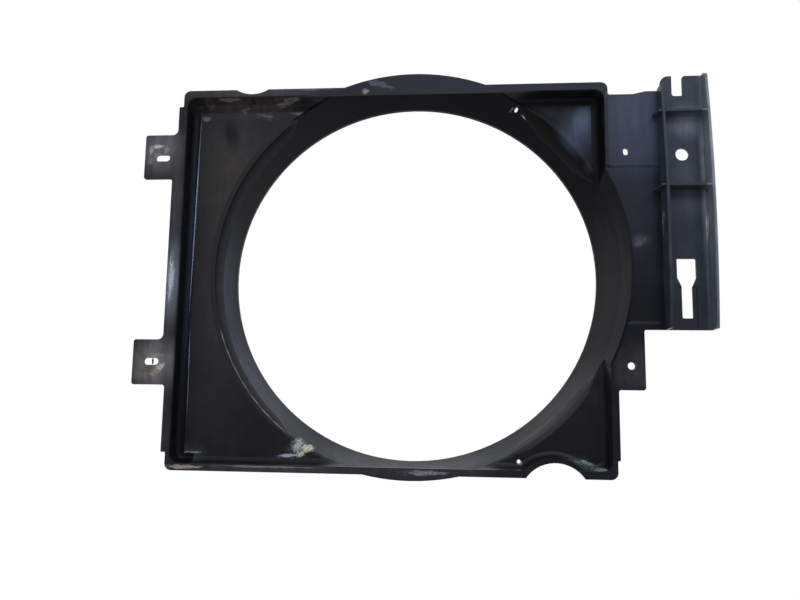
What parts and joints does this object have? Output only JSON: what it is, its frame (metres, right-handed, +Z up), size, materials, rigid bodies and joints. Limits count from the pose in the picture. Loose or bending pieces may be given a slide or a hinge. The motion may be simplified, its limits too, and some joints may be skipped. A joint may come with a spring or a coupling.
{
  "type": "radiator fan shroud",
  "caption": "Moulded radiator fan shroud: shallow plenum box with a round fan ring, flat mounting tabs and a bottle channel on a side plate.",
  "frame": {"origin": "on the fan's axis, in the flange's mounting face on the radiator side", "axes": "+X towards the bottle channel, +Y along the fan's axis from the radiator to the engine, +Z up"},
  "size_m": [0.6745, 0.0932, 0.497],
  "materials": {
    "black_plastic": "satin"
  },
  "bodies": {
    "root": {"back_panel": "black_plastic", "bottom_collar": "black_plastic", "bottom_wall_left": "black_plastic", "bottom_wall_right": "black_plastic", "channel_floor": "black_plastic", "channel_left_wall": "black_plastic", "channel_rib_lower": "black_plastic", "channel_rib_upper": "black_plastic", "channel_right_wall": "black_plastic", "fan_ring": "black_plastic", "hose_arch": "black_plastic", "left_wall": "black_plastic", "lower_left_tab": "black_plastic", "lower_right_pocket": "black_plastic", "lower_right_tab": "black_plastic", "mouth_flange": "black_plastic", "pocket_shoulder": "black_plastic", "rib_web_lower": "black_plastic", "rib_web_upper": "black_plastic", "right_flare": "black_plastic", "right_wall_lower": "black_plastic", "right_wall_upper": "black_plastic", "rim_bead_left": "black_plastic", "rim_bead_lower_right": "black_plastic", "ring_gusset_1": "black_plastic", "ring_gusset_2": "black_plastic", "ring_gusset_3": "black_plastic", "ring_gusset_4": "black_plastic", "ring_gusset_5": "black_plastic", "side_plate": "black_plastic", "top_collar": "black_plastic", "top_wall_left": "black_plastic", "top_wall_right": "black_plastic", "upper_left_tab": "black_plastic", "upper_right_pocket": "black_plastic"}
  },
  "joints": []
}
